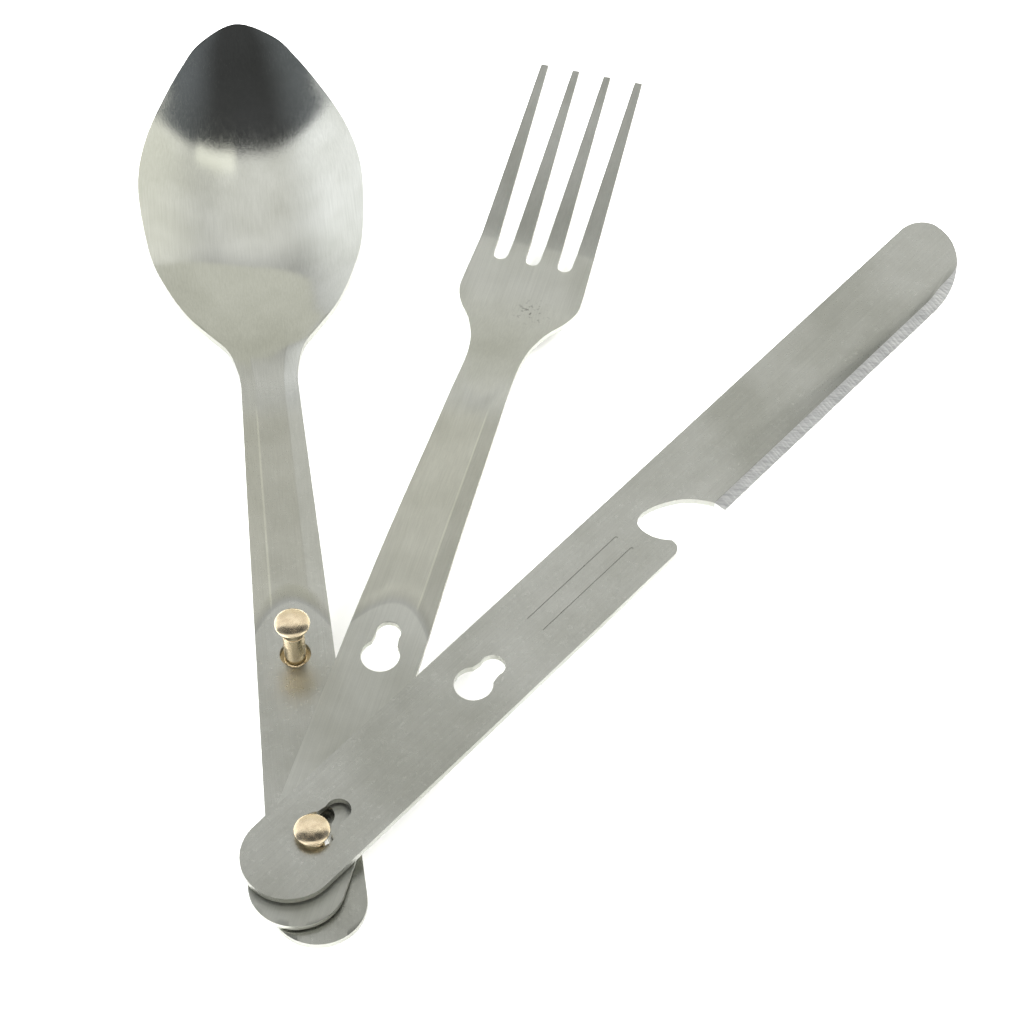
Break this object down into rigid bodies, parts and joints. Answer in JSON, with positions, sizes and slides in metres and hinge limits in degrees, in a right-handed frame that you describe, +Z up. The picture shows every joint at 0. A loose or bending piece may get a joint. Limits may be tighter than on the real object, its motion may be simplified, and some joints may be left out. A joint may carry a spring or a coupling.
{
  "type": "clip-together cutlery set",
  "caption": "Flat stamped-steel camping spoon, fork and knife fanned out on a loose brass rivet, with keyhole slots that clip onto a second rivet and a bottle-opener notch in the knife.",
  "frame": {"origin": "centre of the flat underside of the pivot rivet's lower head, on the pivot axis", "axes": "+Y along the spoon towards the tip of its bowl, +Z up along the rivets, away from the plates' undersides"},
  "size_m": [0.1445, 0.2, 0.0193],
  "materials": {
    "satin_steel": "satin rolled stainless steel",
    "brass": "polished pale brass"
  },
  "bodies": {
    "spoon": {"spoon": "satin_steel"},
    "pivot_post": {"pivot_rivet_post": "brass"},
    "fork": {"fork": "satin_steel"},
    "pivot_cap": {"pivot_rivet_cap": "brass"},
    "knife": {"knife": "satin_steel"},
    "latch_rivet": {"latch_rivet_post": "brass", "latch_rivet_cap": "brass"}
  },
  "joints": [
    {"name": "fork_swing", "type": "hinge", "parent": "spoon", "child": "pivot_post", "pos_m": [0, 0, 0], "axis": [0, 0, -1], "range_deg": [-6.5, 321.9]},
    {"name": "fork_keyhole_slide", "type": "slide", "parent": "pivot_post", "child": "fork", "axis": [0.3795, 0.9252, 0], "range_m": [-0.00465, 0.0015]},
    {"name": "knife_swing", "type": "hinge", "parent": "spoon", "child": "pivot_cap", "pos_m": [0, 0, 0], "axis": [0, 0, -1], "range_deg": [-30.9, 294.1]},
    {"name": "knife_keyhole_slide", "type": "slide", "parent": "pivot_cap", "child": "knife", "axis": [0.7478, 0.6639, 0], "range_m": [-0.00605, 0.0001]},
    {"name": "latch_rivet_float", "type": "slide", "parent": "spoon", "child": "latch_rivet", "axis": [0, 0, 1], "range_m": [-0.0085, 0]}
  ]
}
